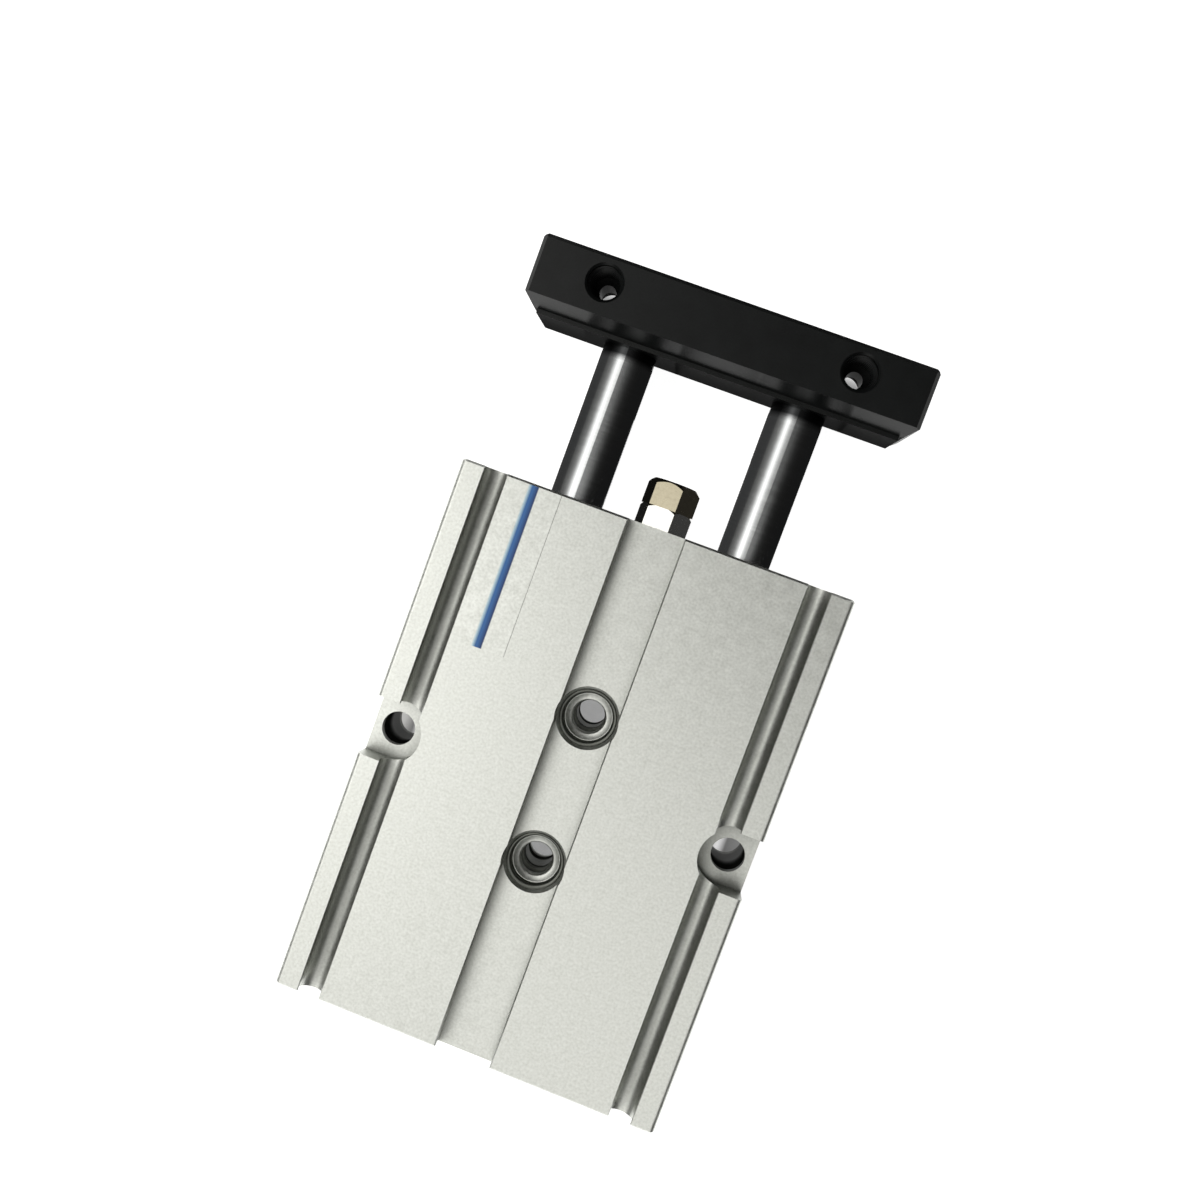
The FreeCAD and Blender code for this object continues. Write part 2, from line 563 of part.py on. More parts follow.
def plate_blank():
    """Bar with small bevels, slopes round its back, and a raised land on the back."""
    half_width, half_height = PLATE_WIDTH / 2, PLATE_HEIGHT / 2
    shoulder_y = PLATE_BACK_Y + PLATE_LAND_RISE
    bevel = (PLATE_EDGE_BEVEL, PLATE_EDGE_BEVEL)
    front_view = cut_corner_outline(half_width, -half_height, half_height, bevel, bevel)
    top_view = cut_corner_outline(half_width, shoulder_y, PLATE_FRONT_Y,
                                  (PLATE_END_REACH, PLATE_SLOPE_DEPTH), bevel)
    side_view = cut_corner_outline(half_height, shoulder_y, PLATE_FRONT_Y,
                                   (PLATE_SLOPE_REACH, PLATE_SLOPE_DEPTH), bevel)
    views = ([at(x, shoulder_y, z) for x, z in front_view],
             [at(x, y, -half_height) for x, y in top_view],
             [at(-half_width, y, z) for z, y in side_view])
    ways = (ALONG * (PLATE_FRONT_Y - shoulder_y), UP * PLATE_HEIGHT, ACROSS * PLATE_WIDTH)
    front, top, side = [Part.Face(Part.makePolygon(view + view[:1])).extrude(way)
                        for view, way in zip(views, ways)]
    land_x = half_width - PLATE_END_REACH - PLATE_LAND_MARGIN
    land_z = half_height - PLATE_SLOPE_REACH
    land = Part.makeBox(2 * land_x, PLATE_LAND_RISE + OVERRUN, 2 * land_z, at(-land_x, PLATE_BACK_Y, -land_z))
    return front.common(top).common(side).fuse(land)


def plate_hole_tools():
    """Load holes in the upper, lower and front faces, and the stepped holes that take the rods."""
    tools = []
    broad_y = PLATE_FRONT_Y - BROAD_TAP_INSET
    head_d = ROD_SCREW_HEAD_D + 2 * HEAD_CLEARANCE
    for side in SIDES.values():
        lower = at(side * BROAD_TAP_SPACING / 2, broad_y, -PLATE_HEIGHT / 2)
        upper = lower + UP * PLATE_HEIGHT
        tools.append(tapped_hole(lower, UP, M5_D, M5_MOUTH_D, PLATE_TAP_DEPTH))
        tools.append(tapped_hole(upper, -UP, M5_D, M5_MOUTH_D, PLATE_TAP_DEPTH))
        tools.append(round_bar(PLATE_PILOT_D, lower, upper))
        mouth = at(side * FRONT_TAP_SPACING / 2, PLATE_FRONT_Y)
        tools.append(tapped_hole(mouth, -ALONG, M5_D, M5_MOUTH_D, PLATE_TAP_DEPTH))
        x = bore_x(side)
        tools.append(round_bar(ROD_D + 2 * THREAD_FIT, at(x, PLATE_BACK_Y - OVERRUN), at(x, ROD_FRONT_Y)))
        tools.append(round_bar(ROD_SCREW_D + 2 * SHANK_CLEARANCE, at(x, ROD_FRONT_Y), at(x, PLATE_FRONT_Y)))
        tools.append(round_bar(head_d, at(x, rod_screw_seat_y()), at(x, PLATE_FRONT_Y + OVERRUN)))
    return tools


def rod_screw_seat_y():
    return PLATE_FRONT_Y - HEAD_SUNK - ROD_SCREW_HEAD_HEIGHT


def end_plate():
    return plate_blank().cut(plate_hole_tools())


def rod_screws():
    """Socket head screws that draw the rods into the plate."""
    screws = []
    for side in SIDES.values():
        x = bore_x(side)
        seat_y = rod_screw_seat_y()
        top_y = seat_y + ROD_SCREW_HEAD_HEIGHT
        head = round_bar(ROD_SCREW_HEAD_D, at(x, seat_y), at(x, top_y))
        rim = [edge for edge in head.Edges if edge.Closed and abs(edge.CenterOfMass.y - top_y) < TOUCH]
        head = head.makeChamfer(EDGE_BREAK, rim)
        socket = hex_bar(ROD_SCREW_SOCKET_AF, at(x, top_y - ROD_SCREW_SOCKET_DEPTH), at(x, top_y + OVERRUN))
        shank = round_bar(ROD_SCREW_D, at(x, seat_y - ROD_SCREW_LENGTH), at(x, seat_y))
        screws.append(head.fuse(shank).cut(socket))
    return Part.makeCompound(screws)


# ---- return stop ------------------------------------------------------------
def chamfered_hex(height, chamfer, low_y):
    """Hexagon whose outer corners are turned down to a bevel."""
    high_y = low_y + height
    hexagon = hex_bar(STOP_BOLT_AF, at(0, low_y), at(0, high_y), HEX_TURN)
    corner = STOP_BOLT_AF / math.sqrt(3)
    flat = corner - chamfer
    return hexagon.common(turned(0, [(0, low_y), (corner, low_y), (corner, high_y - chamfer), (flat, high_y),
                                     (0, high_y)]))


def stop_bolt():
    shank = round_bar(STOP_BOLT_D, at(0, FRONT_Y - STOP_BOLT_GRIP), at(0, STOP_HEAD_Y))
    return chamfered_hex(STOP_HEAD_HEIGHT, STOP_HEAD_CHAMFER, STOP_HEAD_Y).fuse(shank)


def lock_nut():
    hole = round_bar(STOP_BOLT_D + 2 * THREAD_FIT, at(0, FRONT_Y - OVERRUN), at(0, STOP_HEAD_Y + OVERRUN))
    return chamfered_hex(LOCK_NUT_HEIGHT, LOCK_NUT_CHAMFER, FRONT_Y).cut(hole)


def sub_parts():
    """Every node of the cylinder, by name."""
    gland_ring_y = (GLAND_FRONT_Y + GLAND_REAR_Y) / 2
    cover_ring_y = (COVER_FRONT_Y + COVER_REAR_Y) / 2
    parts = {"body": body(), "label": label(), "port_plugs": port_plugs(), "stop_bolt": stop_bolt(),
             "lock_nut": lock_nut(), "end_plate": end_plate(), "rod_screws": rod_screws()}
    for name, side in SIDES.items():
        parts[name + "_gland"] = gland(side)
        parts[name + "_gland_o_ring"] = o_ring(side, gland_ring_y)
        parts[name + "_rod_bushing"] = rod_bushing(side)
        parts[name + "_rod_wiper"] = rod_wiper(side)
        parts[name + "_rod_seal"] = rod_seal(side)
        parts[name + "_front_bumper"] = front_bumper(side)
        parts[name + "_front_clip"] = retaining_clip(side, GLAND_FRONT_Y)
        parts[name + "_rear_cover"] = rear_cover(side)
        parts[name + "_cover_o_ring"] = o_ring(side, cover_ring_y)
        parts[name + "_rear_bumper"] = rear_bumper(side)
        parts[name + "_rear_clip"] = retaining_clip(side, COVER_REAR_Y - CLIP_THICKNESS)
        parts[name + "_piston_rod"] = piston_rod(side)
        parts[name + "_piston"] = piston(side)
        parts[name + "_wear_ring"] = wear_ring(side)
        parts[name + "_piston_seal"] = piston_seal(side)
        parts[name + "_magnet"] = magnet(side)
        parts[name + "_magnet_retainer"] = magnet_retainer(side)
        parts[name + "_piston_nut"] = piston_nut(side)
    return parts


os.makedirs("parts", exist_ok=True)
for node, shape in sub_parts().items():
    shape.exportStep("parts/" + node + ".step")
    print(node, len(shape.Solids), "solid", shape.isValid(), round(shape.Volume, 2), "mm3")
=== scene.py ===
import bpy
import bmesh
import json
import math
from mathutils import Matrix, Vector


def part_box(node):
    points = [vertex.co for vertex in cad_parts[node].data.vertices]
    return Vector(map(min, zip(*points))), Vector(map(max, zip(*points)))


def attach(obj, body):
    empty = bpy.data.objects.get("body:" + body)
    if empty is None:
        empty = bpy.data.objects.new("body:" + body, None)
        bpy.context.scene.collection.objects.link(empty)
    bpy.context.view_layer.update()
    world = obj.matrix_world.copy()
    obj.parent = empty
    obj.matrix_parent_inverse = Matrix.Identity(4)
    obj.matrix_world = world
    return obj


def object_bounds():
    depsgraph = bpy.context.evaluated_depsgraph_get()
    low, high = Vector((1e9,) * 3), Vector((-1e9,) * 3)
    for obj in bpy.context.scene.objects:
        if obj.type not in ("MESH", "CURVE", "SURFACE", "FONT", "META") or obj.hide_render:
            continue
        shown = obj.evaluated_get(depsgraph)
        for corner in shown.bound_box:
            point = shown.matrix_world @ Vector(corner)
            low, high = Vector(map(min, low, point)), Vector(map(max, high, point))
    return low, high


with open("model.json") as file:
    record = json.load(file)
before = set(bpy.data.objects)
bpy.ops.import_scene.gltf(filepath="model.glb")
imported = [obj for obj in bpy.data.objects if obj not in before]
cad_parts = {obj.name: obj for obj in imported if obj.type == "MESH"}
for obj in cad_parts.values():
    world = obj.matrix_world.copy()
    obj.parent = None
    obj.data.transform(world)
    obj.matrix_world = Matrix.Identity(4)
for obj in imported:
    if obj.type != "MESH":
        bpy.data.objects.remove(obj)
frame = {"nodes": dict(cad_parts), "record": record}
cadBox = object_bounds()
nodes = frame["nodes"]
mounts = {mount["name"]: mount for mount in frame["record"]["mounts"]}
mm = 0.001
sides = ("left", "right")
noiseSpan = (0.3, 0.7)  # a noise's values lie mostly between these
print("frame loaded:", len(nodes), "nodes")


def hexColour(text):  # sRGB hex to linear RGBA
    channels = [int(text[start:start + 2], 16) / 255 for start in (1, 3, 5)]
    linear = [value / 12.92 if value <= 0.04045 else ((value + 0.055) / 1.055) ** 2.4 for value in channels]
    return (*linear, 1.0)


def perMetre(sizeMm):  # texture scale that repeats once in so many millimetres
    return 1 / (sizeMm * mm)


def addNode(tree, kind, inputs=(), **settings):  # a node among the inputs is linked by its first live output
    node = tree.nodes.new("ShaderNode" + kind)
    for name, value in settings.items():
        setattr(node, name, value)
    for place, value in inputs.items() if isinstance(inputs, dict) else enumerate(inputs):
        if isinstance(value, bpy.types.Node):
            value = next(socket for socket in value.outputs if socket.enabled)
        if isinstance(value, bpy.types.NodeSocket):
            tree.links.new(value, node.inputs[place])
        else:
            node.inputs[place].default_value = value
    return node


def newMaterial(name, plain):  # a Principled shader with its plain values set on its own sockets
    material = bpy.data.materials.new(name)
    material.use_nodes = True
    tree = material.node_tree
    shader = tree.nodes["Principled BSDF"]
    for socket, value in plain.items():
        shader.inputs[socket].default_value = value
    return material, tree, shader, addNode(tree, "TexCoord").outputs["Object"]


def dress(tree, shader, results):  # links each finished pattern to its socket of the shader
    for socket, node in results.items():
        tree.links.new(next(out for out in node.outputs if out.enabled), shader.inputs[socket])


def toned(tree, look, amount):  # from the look's dark colour to its pale one as amount goes 0 to 1
    colours = {"Factor": amount, "A": hexColour(look["dark"]), "B": hexColour(look["pale"])}
    return addNode(tree, "Mix", colours, data_type="RGBA")


def mottled(tree, where, look):  # fine grain and soft clouds, and the colour they make together
    grain = addNode(tree, "TexNoise", {"Vector": where, "Scale": perMetre(look["grain"]), "Detail": 2.0})
    cloud = addNode(tree, "TexNoise", {"Vector": where, "Scale": perMetre(look["cloud"]), "Detail": 3.0})
    both = addNode(tree, "Mix", {"Factor": look["cloudShare"], "A": grain, "B": cloud})
    return grain, cloud, toned(tree, look, addNode(tree, "MapRange", [both, *noiseSpan]))


# clear anodised aluminium, extruded: a pale, slightly warm satin that sparkles finely, with painted shade
# greying its hollows

extrusion = {
    "dark": "#d1d3cd", "pale": "#edefea", "hollow": "#5a5c56",
    "roughness": 0.4, "smoother": 0.04, "rougher": 0.05,
    "grain": 0.4,  # mm, the etch before anodising is finer, drawn this coarse so it shows
    "cloud": 1.6,  # mm, uneven etching in soft patches
    "cloudShare": 0.4, "grainDepth": 0.35, "lineDepth": 0.12, "bump": 0.02 * mm,
    "hollowReach": 12.0 * mm, "hollowRays": 8,
    "hollowFrom": 0.74, "hollowFull": 0.12,  # how open a spot is where the painted shade starts and where it is full
    "lightFrom": (-0.55, -0.35, 0.3),  # the painted shade counts openness towards this side, the side the light comes from, most
    "dieLine": 0.5,  # mm between the die's drawing lines along the bar, finer in truth
    "dieStretch": (1.0, 0.01, 1.0),  # the lines run on along Y
    "sawMark": 0.35,  # mm between the saw's marks on the cut ends
    "sawWander": 1.5, "endOn": 0.9,  # how squarely a face looks along Y to count as a cut end
}


# the second argument sets how much painted shade greys the hollows: 1 full, 0 none
def clearAnodisedExtrusion(name, hollowShadeAmount):
    material, tree, shader, where = newMaterial(name, {"Metallic": 1.0, "Roughness": extrusion["roughness"]})
    grain, cloud, etched = mottled(tree, where, extrusion)
    alongBar = addNode(tree, "Mapping", {"Vector": where, "Scale": extrusion["dieStretch"]})
    lines = addNode(tree, "TexNoise", {
        "Vector": alongBar, "Scale": perMetre(extrusion["dieLine"]), "Detail": 1.0})
    facing = addNode(tree, "SeparateXYZ", [addNode(tree, "TexCoord").outputs["Normal"]])
    endOn = addNode(tree, "Math", [facing.outputs["Y"]], operation="ABSOLUTE")
    cutEnd = addNode(tree, "Math", [endOn, extrusion["endOn"]], operation="GREATER_THAN")
    saw = addNode(tree, "TexWave", {
        "Vector": where, "Scale": perMetre(extrusion["sawMark"]) / math.tau,
        "Distortion": extrusion["sawWander"], "Detail": 1.0}, bands_direction="Z")
    normal = addNode(tree, "NewGeometry").outputs["Normal"]
    towards = addNode(tree, "VectorMath", [normal, extrusion["lightFrom"]], operation="ADD")
    tilted = addNode(tree, "VectorMath", [towards], operation="NORMALIZE")
    openness = addNode(tree, "AmbientOcclusion", {"Distance": extrusion["hollowReach"], "Normal": tilted},
                       samples=extrusion["hollowRays"]).outputs["AO"]
    # painted shade: the colour greys where the surface is closed in, counted most towards the light's side
    hollow = addNode(tree, "MapRange", [
        openness, extrusion["hollowFull"], extrusion["hollowFrom"], hollowShadeAmount, 0.0])
    colour = addNode(tree, "Mix", {
        "Factor": hollow, "A": etched, "B": hexColour(extrusion["hollow"])}, data_type="RGBA")
    marks = addNode(tree, "Mix", {"Factor": cutEnd, "A": lines, "B": saw.outputs["Fac"]})
    coarse = addNode(tree, "Bump", {
        "Height": marks, "Strength": extrusion["lineDepth"], "Distance": extrusion["bump"]})
    fine = addNode(tree, "Bump", {
        "Height": grain, "Strength": extrusion["grainDepth"], "Distance": extrusion["bump"],
        "Normal": coarse})
    rough = addNode(tree, "MapRange", [
        cloud, *noiseSpan, extrusion["roughness"] - extrusion["smoother"],
        extrusion["roughness"] + extrusion["rougher"]])
    dress(tree, shader, {"Base Color": colour, "Roughness": rough, "Normal": fine})
    return material


# black anodised aluminium, milled and blasted: near-black satin with a soft grey sheen on its bevels

plateFinish = {
    "dark": "#090a0a", "pale": "#141616", "roughness": 0.32, "glassiness": 1.5, "mirror": 0.25,
    "grain": 0.25,  # mm, the blasting is finer, drawn this coarse so it shows
    "cloud": 2.5,  # mm, uneven dye in soft patches
    "cloudShare": 0.5, "grainDepth": 0.3, "bump": 0.02 * mm,
}


def blackAnodisedPlate():
    material, tree, shader, where = newMaterial("blackAnodisedPlate", {
        "Roughness": plateFinish["roughness"], "IOR": plateFinish["glassiness"],
        "Specular IOR Level": plateFinish["mirror"]})
    grain, cloud, colour = mottled(tree, where, plateFinish)
    blasted = addNode(tree, "Bump", {
        "Height": grain, "Strength": plateFinish["grainDepth"], "Distance": plateFinish["bump"]})
    dress(tree, shader, {"Base Color": colour, "Normal": blasted})
    return material


# hard chrome, ground and polished: a dark mirror with the finest rings left by the grinding wheel

rodFinish = {
    "dark": "#c4c6c7", "pale": "#d6d8d9", "roughness": 0.2, "roughnessSpread": 0.03,
    "grindRing": 0.16,  # mm, real rings are finer, drawn this coarse so they show
    "ringStretch": (0.03, 1.0, 0.03),  # the rings run on round the rod
    "ringDepth": 0.06, "bump": 0.01 * mm,
    "relief": "#3c3d3e", "reliefStart": 2.2 * mm, "reliefFull": 1.2 * mm,  # painted shade on the rod close to the plate
}


def groundHardChrome():
    material, tree, shader, where = newMaterial("groundHardChrome", {
        "Metallic": 1.0, "Roughness": rodFinish["roughness"]})
    squeeze = addNode(tree, "Mapping", {"Vector": where, "Scale": rodFinish["ringStretch"]})
    rings = addNode(tree, "TexNoise", {
        "Vector": squeeze, "Scale": perMetre(rodFinish["grindRing"]), "Detail": 2.0})
    along = addNode(tree, "SeparateXYZ", [where]).outputs["Y"]
    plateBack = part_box("end_plate")[0].y
    # painted shade: the chrome darkens over the last millimetres before the plate
    nearPlate = addNode(tree, "MapRange", [
        along, plateBack - rodFinish["reliefStart"], plateBack - rodFinish["reliefFull"]])
    colour = addNode(tree, "Mix", {
        "Factor": nearPlate, "A": toned(tree, rodFinish, rings), "B": hexColour(rodFinish["relief"])},
        data_type="RGBA")
    rough = addNode(tree, "MapRange", [
        rings, *noiseSpan, rodFinish["roughness"] - rodFinish["roughnessSpread"],
        rodFinish["roughness"] + rodFinish["roughnessSpread"]])
    ringed = addNode(tree, "Bump", {
        "Height": rings, "Strength": rodFinish["ringDepth"], "Distance": rodFinish["bump"]})
    dress(tree, shader, {"Base Color": colour, "Roughness": rough, "Normal": ringed})
    return material


# plated steel, turned or formed: bright metal with a warm or cool tint and faint tool marks

plated = {
    "yellowZincPlatedBolt": {"dark": "#857e6c", "pale": "#aca590", "roughness": 0.2},  # warm and brassy
    "nickelPlatedNut": {"dark": "#c9c9c4", "pale": "#e6e6e2", "roughness": 0.2},  # bright and almost white
    "zincPlatedNut": {"dark": "#b9bcc0", "pale": "#d5d8db", "roughness": 0.25},  # a cool, bluish grey
}
platedMarks = {"size": 0.6,  # mm, the length of a tool mark
               "smoother": 0.05, "rougher": 0.08, "depth": 0.15, "bump": 0.02 * mm}


def platedSteel(name):
    look = plated[name]
    material, tree, shader, where = newMaterial(name, {"Metallic": 1.0, "Roughness": look["roughness"]})
    marks = addNode(tree, "TexNoise", {
        "Vector": where, "Scale": perMetre(platedMarks["size"]), "Detail": 4.0})
    rough = addNode(tree, "MapRange", [
        marks, *noiseSpan, look["roughness"] - platedMarks["smoother"],
        look["roughness"] + platedMarks["rougher"]])
    scratched = addNode(tree, "Bump", {
        "Height": marks, "Strength": platedMarks["depth"], "Distance": platedMarks["bump"]})
    dress(tree, shader, {"Base Color": toned(tree, look, marks), "Roughness": rough, "Normal": scratched})
    return material


# turned pieces: fine rings round the axis of the left or the right bore. The feed of the lathe is in mm. A
# finishing cut's own feed is too fine to show, so it is drawn coarser here

turned = {
    "turnedAluminium": {"roughness": 0.38, "dark": "#a8abad", "pale": "#cfd1d2", "feed": 0.3},  # silvery
    "sinteredBronze": {"roughness": 0.45, "dark": "#8a5f33", "pale": "#a87a45", "feed": 0.4},  # oily brown
}
turnedMarks = {"stain": 1.2,  # mm, blotches of oil
               "stainShare": 0.5, "ringWander": 0.4, "depth": 0.2, "bump": 0.02 * mm}


def turnedMetal(kind, side):
    look = turned[kind]
    material, tree, shader, where = newMaterial(kind + "_" + side, {
        "Metallic": 1.0, "Roughness": look["roughness"]})
    centred = addNode(tree, "Mapping", {"Vector": where, "Location": (-boreX[side], 0, 0)})
    rings = addNode(tree, "TexWave", {
        "Vector": centred, "Scale": perMetre(look["feed"]) / math.tau,
        "Distortion": turnedMarks["ringWander"], "Detail": 1.0},
        wave_type="RINGS", rings_direction="Y").outputs["Fac"]
    stain = addNode(tree, "TexNoise", {
        "Vector": where, "Scale": perMetre(turnedMarks["stain"]), "Detail": 3.0})
    both = addNode(tree, "Mix", {"Factor": turnedMarks["stainShare"], "A": rings, "B": stain})
    grooved = addNode(tree, "Bump", {
        "Height": rings, "Strength": turnedMarks["depth"], "Distance": turnedMarks["bump"]})
    dress(tree, shader, {"Base Color": toned(tree, look, both), "Normal": grooved})
    return material


# moulded, pressed or blackened pieces: a dull skin with soft mottling. Each grain is the size of a blotch in
# mm, coarser than the real texture so it shows

skins = {
    "blackOxideScrews": {
        "plain": {"Metallic": 0.6, "Roughness": 0.35},
        "dark": "#191a1b", "pale": "#2c2d2f", "grain": 0.5},  # oiled black steel
    "blackOxidePlugs": {
        "plain": {"Metallic": 0.6, "Roughness": 0.35},
        "dark": "#191a1b", "pale": "#2c2d2f", "grain": 0.5},  # oiled black steel
    "mouldedNitrile": {
        "plain": {"Roughness": 0.6, "IOR": 1.52},
        "dark": "#101111", "pale": "#1c1d1d", "grain": 0.6},  # matt black rubber
    "mouldedUrethane": {
        "plain": {"Roughness": 0.45, "IOR": 1.5},
        "dark": "#7a5a24", "pale": "#93702f", "grain": 0.8},  # amber brown with a soft shine
    "phosphatedSpringSteel": {
        "plain": {"Metallic": 0.9, "Roughness": 0.4},
        "dark": "#38393b", "pale": "#4d4e50", "grain": 0.4},  # dark grey and slightly metallic
    "filledPlasticTape": {
        "plain": {"Roughness": 0.45, "IOR": 1.5},
        "dark": "#5b4028", "pale": "#6f5034", "grain": 0.7},  # brown, from its bronze filler
    "bondedFerrite": {
        "plain": {"Metallic": 0.2, "Roughness": 0.55},
        "dark": "#2b2a2a", "pale": "#3a3938", "grain": 0.3},  # charcoal grey, close-grained
    "shadedAnodisedSlope": {
        "plain": {"Metallic": 1.0, "Roughness": 0.35},
        "dark": "#62645f", "pale": "#787a74", "grain": 0.4},  # a counterbore's slope, darkened with painted shade
    "shadedDrilledWall": {
        "plain": {"Metallic": 1.0, "Roughness": 0.5},
        "dark": "#232422", "pale": "#3a3b38", "grain": 0.4},  # a drilled hole's wall, made nearly black with painted shade
}
skinRelief = {"depth": 0.25, "bump": 0.02 * mm}


def dullSkin(name):
    look = skins[name]
    material, tree, shader, where = newMaterial(name, look["plain"])
    mottle = addNode(tree, "TexNoise", {"Vector": where, "Scale": perMetre(look["grain"]), "Detail": 4.0})
    uneven = addNode(tree, "Bump", {
        "Height": mottle, "Strength": skinRelief["depth"], "Distance": skinRelief["bump"]})
    dress(tree, shader, {"Base Color": toned(tree, look, mottle), "Normal": uneven})
    return material


# clear polyester film with one printed rule: the etched aluminium shows through it

labelPrint = {
    "edge": "#a9c9da", "rule": "#3a6aa6", "deep": "#1c3566",  # from the left of the rule to its right
    "ruleCentre": 4.0 * mm, "ruleWidth": 1.15 * mm, "edgeWidth": 0.3 * mm, "roughness": 0.4,
}


def printedLabelFilm():
    material, tree, shader, where = newMaterial("printedLabelFilm", {"Roughness": labelPrint["roughness"]})
    along = addNode(tree, "SeparateXYZ", [where]).outputs["X"]
    film = mottled(tree, where, extrusion)[2]
    edge = labelPrint["edgeWidth"]
    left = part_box("label")[0].x + labelPrint["ruleCentre"] - labelPrint["ruleWidth"] / 2
    right = left + labelPrint["ruleWidth"]
    printed = film
    inks = ((left - edge, left, "edge"), (left, left + edge, "rule"), (right - 2 * edge, right, "deep"))
    for start, full, ink in inks:
        amount = addNode(tree, "MapRange", [along, start, full])
        printed = addNode(tree, "Mix", {
            "Factor": amount, "A": printed, "B": hexColour(labelPrint[ink])}, data_type="RGBA")
    past = addNode(tree, "MapRange", [along, right, right + edge / 2])
    colour = addNode(tree, "Mix", {"Factor": past, "A": printed, "B": film}, data_type="RGBA")
    bare = addNode(tree, "MapRange", [along, left - edge, left, 1.0, 0.0])
    metallic = addNode(tree, "Math", [bare, past], operation="MAXIMUM")
    dress(tree, shader, {"Base Color": colour, "Metallic": metallic})
    return material


# which node wears which finish

boreX = {side: (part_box(side + "_piston_rod")[0].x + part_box(side + "_piston_rod")[1].x) / 2 for side in sides}
finishes = {
    "body": clearAnodisedExtrusion("clearAnodisedExtrusion", 1.0),
    "label": printedLabelFilm(),
    "end_plate": blackAnodisedPlate(),
    "stop_bolt": platedSteel("yellowZincPlatedBolt"),
    "lock_nut": platedSteel("nickelPlatedNut"),
    "rod_screws": dullSkin("blackOxideScrews"),
    "port_plugs": dullSkin("blackOxidePlugs"),
}
turnedSeat = clearAnodisedExtrusion("turnedAnodisedSeat", 0.0)  # the same satin, without the painted shade in hollows
shadedSlope = dullSkin("shadedAnodisedSlope")
shadedHoleWall = dullSkin("shadedDrilledWall")
shared = {
    groundHardChrome(): ["piston_rod"],
    dullSkin("mouldedNitrile"): ["gland_o_ring", "rod_wiper", "rod_seal", "cover_o_ring", "piston_seal"],
    dullSkin("mouldedUrethane"): ["front_bumper", "rear_bumper"],
    dullSkin("phosphatedSpringSteel"): ["front_clip", "rear_clip"],
    dullSkin("filledPlasticTape"): ["wear_ring"],
    dullSkin("bondedFerrite"): ["magnet"],
    platedSteel("zincPlatedNut"): ["piston_nut"],
}
for side in sides:
    ownBore = {
        turnedMetal("turnedAluminium", side): ["gland", "rear_cover", "piston", "magnet_retainer"],
        turnedMetal("sinteredBronze", side): ["rod_bushing"],
    }
    for material, kinds in {**shared, **ownBore}.items():
        for kind in kinds:
            finishes[side + "_" + kind] = material
for name, node in nodes.items():
    node.data.materials.clear()
    node.data.materials.append(finishes[name])
print("finishes given to", len(finishes), "nodes")


# M5 threads in the tapped holes: a trapezoid ridge wound down each wall

thread = {
    "pitch": 0.8 * mm, "crestRadius": 2.1 * mm, "crestHalf": 0.06 * mm,
    "rootSink": 0.01 * mm, "rootHalf": 0.36 * mm,
    "perTurn": 36, "runOut": 0.5,  # the share of a turn over which the ridge rises and fades
    "leastRise": 0.02, "leastWidth": 0.3,  # of the full ridge, at its tips
    "depths": {"centre_holes_top": 2.4 * mm, "centre_holes_base": 2.4 * mm, "plate_top_holes": 8.6 * mm,
               "plate_base_holes": 8.6 * mm, "plate_front_holes": 5.2 * mm, "front_port": 4.8 * mm,
               "rear_port": 4.8 * mm},
}


def threadRidge(verts, faces, mouth, outward, wallRadius, depth):
    inward = -outward
    across = outward.orthogonal().normalized()
    up = outward.cross(across)
    turns = (depth - 2 * thread["rootHalf"]) / thread["pitch"]
    steps = int(turns * thread["perTurn"])
    first = len(verts)
    rootRadius = wallRadius + thread["rootSink"]
    for step in range(steps + 1):
        turn = step / thread["perTurn"]
        rise = min(1.0, turn / thread["runOut"], (turns - turn) / thread["runOut"])
        rise = max(rise, thread["leastRise"])
        crest = rootRadius + (thread["crestRadius"] - rootRadius) * rise
        half = thread["rootHalf"] * max(rise, thread["leastWidth"])
        down = thread["rootHalf"] + turn * thread["pitch"]
        ray = across * math.cos(turn * math.tau) + up * math.sin(turn * math.tau)
        tip = thread["crestHalf"]
        for radius, offset in ((rootRadius, -half), (crest, -tip), (crest, tip), (rootRadius, half)):
            verts.append(mouth + inward * (down + offset) + ray * radius)
    for step in range(steps):
        low = first + 4 * step
        for edge in range(4):
            other = (edge + 1) % 4
            faces.append((low + edge, low + 4 + edge, low + 4 + other, low + other))
    last = first + 4 * steps
    faces.append((first, first + 1, first + 2, first + 3))
    faces.append((last + 3, last + 2, last + 1, last))


def meshObject(name, verts, faces, material):  # linked to the scene, on no body yet
    mesh = bpy.data.meshes.new(name)
    mesh.from_pydata(verts, [], faces)
    mesh.materials.append(material)
    piece = bpy.data.objects.new(name, mesh)
    bpy.context.scene.collection.objects.link(piece)
    return piece


def partPiece(name, verts, faces, material, body):  # a piece of the part itself
    piece = meshObject(name, verts, faces, material)
    work = bmesh.new()
    work.from_mesh(piece.data)
    bmesh.ops.recalc_face_normals(work, faces=work.faces)
    work.to_mesh(piece.data)
    work.free()
    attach(piece, body)
    return piece


def holePlaces(mount):  # centres of a mount's holes, in metres
    centre = Vector(mount["pos_m"])
    if mount["kind"] == "threaded_hole":
        return [centre]
    spread = [mount["dims"].get("spacing_" + axis + "_mm", 0) * mm / 2 for axis in "xy"]
    return [centre + Vector((spread[0] * way, spread[1] * way, 0)) for way in (-1, 1)]


for mountName, depth in thread["depths"].items():
    mount = mounts[mountName]
    radius = mount["dims"].get("hole_r_mm", mount["dims"].get("r_mm")) * mm
    onPlate = mountName.startswith("plate")
    threadVerts, threadFaces = [], []
    for place in holePlaces(mount):
        threadRidge(threadVerts, threadFaces, place, Vector(mount["axis"]), radius, depth)
    partPiece(mountName + "_thread", threadVerts, threadFaces, finishes["end_plate" if onPlate else "body"],
              "carriage" if onPlate else "root")
print("threads cut in", len(thread["depths"]), "groups of holes")
